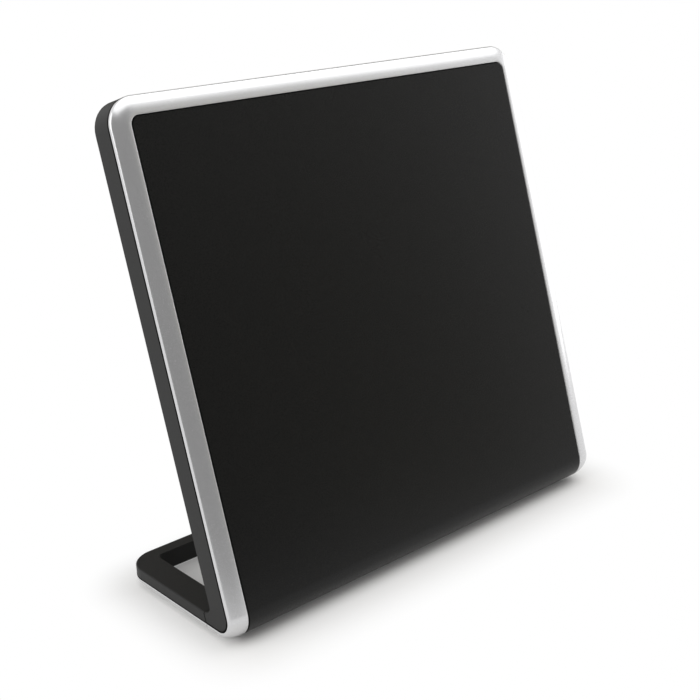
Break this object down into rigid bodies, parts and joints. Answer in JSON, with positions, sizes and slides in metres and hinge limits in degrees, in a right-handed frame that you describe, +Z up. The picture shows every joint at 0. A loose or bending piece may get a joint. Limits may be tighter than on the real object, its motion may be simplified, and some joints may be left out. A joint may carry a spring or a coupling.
{
  "type": "indoor tv antenna",
  "caption": "Flat indoor television antenna: a leaning square black panel with a silver rim on an open loop base, with a coaxial socket behind.",
  "frame": {"origin": "on the floor, under the middle of the bounding box", "axes": "+X to the right as seen from the front, +Y to the back, +Z up; the panel's face looks along -Y and leans back"},
  "size_m": [0.225, 0.0796, 0.2132],
  "materials": {
    "satin_black": "smooth satin black plastic",
    "textured_black": "fine moulded texture, black plastic",
    "silver_lacquer": "satin silver lacquer on plastic",
    "foot_rubber": "matt black rubber",
    "tinplate": "tin-plated steel sheet",
    "circuit_board": "green glass-fibre laminate",
    "nickel_plate": "bright nickel plate",
    "white_insulator": "waxy white plastic",
    "contact_brass": "plain brass",
    "screw_steel": "dark zinc plate"
  },
  "bodies": {
    "root": {"front_panel": "satin_black", "silver_rim": "silver_lacquer", "rear_cover": "textured_black", "base_top": "textured_black", "base_tray": "silver_lacquer", "foot_front_left": "foot_rubber", "foot_front_right": "foot_rubber", "foot_rear_left": "foot_rubber", "foot_rear_right": "foot_rubber", "left_element": "tinplate", "right_element": "tinplate", "feed_board": "circuit_board", "shield_can": "tinplate", "coax_socket": "nickel_plate", "socket_insulator": "white_insulator", "socket_contact": "contact_brass", "socket_washer": "nickel_plate", "socket_nut": "nickel_plate", "cover_screws": "screw_steel", "feed_screws": "screw_steel", "tray_screws": "screw_steel", "stand_screws": "screw_steel"}
  },
  "joints": []
}
